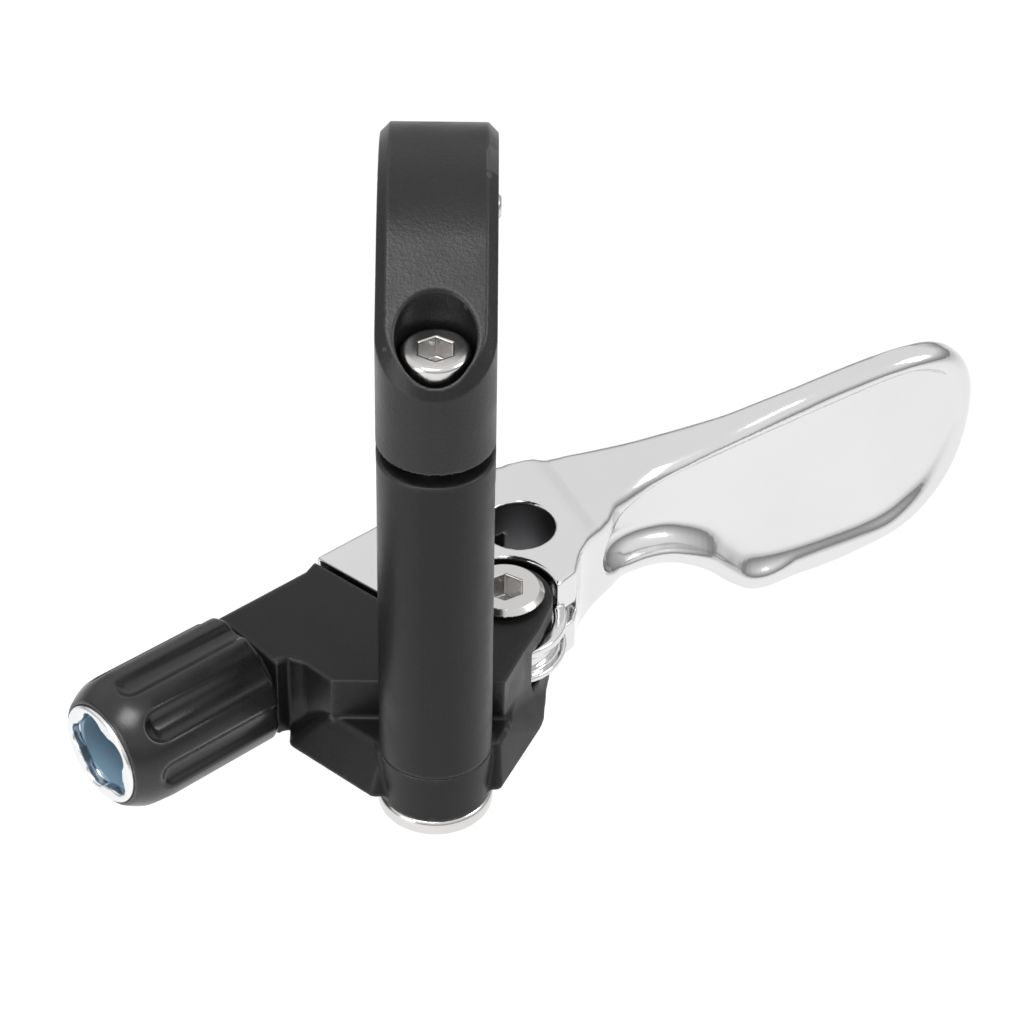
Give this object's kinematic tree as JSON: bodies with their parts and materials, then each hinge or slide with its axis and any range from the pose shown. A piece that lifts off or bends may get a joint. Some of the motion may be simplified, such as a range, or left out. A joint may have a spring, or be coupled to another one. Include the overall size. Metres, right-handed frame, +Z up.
{
  "type": "thumb shifter",
  "caption": "Under-bar thumb lever with a hinged bar clamp, forked body, sealed-bearing pivot, dimpled paddle and a cable barrel adjuster.",
  "frame": {"origin": "centre of the handlebar bore, in the middle of the clamp's width", "axes": "+X along the handlebar, +Y towards the rider, +Z up"},
  "size_m": [0.0757, 0.0528, 0.061],
  "materials": {
    "black_anodised": "fine bead-blasted black anodised aluminium",
    "polished_aluminium": "mirror polished aluminium",
    "screw_steel": "bright turned steel",
    "bearing_steel": "ground bearing steel",
    "knob_black": "satin black with soft gloss",
    "barrel_silver": "bright machined aluminium",
    "liner_blue": "blue-grey anodised",
    "spring_steel": "drawn spring wire",
    "black_plastic": "moulded acetal",
    "black_rubber": "nitrile rubber"
  },
  "bodies": {
    "base": {"clamp_bracket": "black_anodised", "hinge_pin": "screw_steel", "bracket_screw": "screw_steel", "shifter_body": "black_anodised", "pivot_bolt": "screw_steel", "pivot_washer_upper": "screw_steel", "pivot_washer_lower": "screw_steel", "bearing_inner_race": "bearing_steel", "detent_collar": "black_plastic", "barrel_seal": "black_rubber"},
    "cap": {"clamp_cap": "black_anodised"},
    "clamp_screw": {"clamp_bolt": "screw_steel"},
    "thumb_lever": {"lever": "polished_aluminium", "bearing_outer_race": "bearing_steel", "bearing_shields": "bearing_steel"},
    "ball_cage": {"bearing_balls": "bearing_steel", "bearing_cage": "black_plastic"},
    "housing_seat": {"barrel_liner": "liner_blue"},
    "adjuster": {"barrel_core": "barrel_silver", "barrel_knob": "knob_black", "barrel_spring": "spring_steel"}
  },
  "joints": [
    {"name": "lever_pivot", "type": "hinge", "parent": "base", "child": "thumb_lever", "pos_m": [0.0054, 0.0003, -0.0331], "axis": [0, 0, -1], "range_deg": [0, 28]},
    {"name": "cage_orbit", "type": "hinge", "parent": "base", "child": "ball_cage", "pos_m": [0.0054, 0.0003, -0.0331], "axis": [0, 0, -1], "range_deg": [0, 16.8]},
    {"name": "cap_hinge", "type": "hinge", "parent": "base", "child": "cap", "pos_m": [0, 0.0131, 0], "axis": [-1, 0, 0], "range_deg": [0, 2.5]},
    {"name": "clamp_screw_travel", "type": "slide", "parent": "base", "child": "clamp_screw", "axis": [0, 0, 1], "range_m": [0, 0.00127]},
    {"name": "adjuster_travel", "type": "slide", "parent": "base", "child": "housing_seat", "axis": [-0.7581, -0.6521, 0], "range_m": [-0.0004, 0.004], "deforming": ["barrel_spring"]},
    {"name": "adjuster_spin", "type": "hinge", "parent": "housing_seat", "child": "adjuster", "pos_m": [-0.0158, -0.0058, -0.0331], "axis": [-0.7581, -0.6521, 0], "range_deg": [-180, 1800]}
  ],
  "couplings": [
    {"joint": "cage_orbit", "follows": "lever_pivot", "ratio": 0.6},
    {"joint": "cap_hinge", "follows": "clamp_screw_travel", "rad_per_m": 34.247},
    {"joint": "adjuster_spin", "follows": "adjuster_travel", "rad_per_m": 7854}
  ]
}
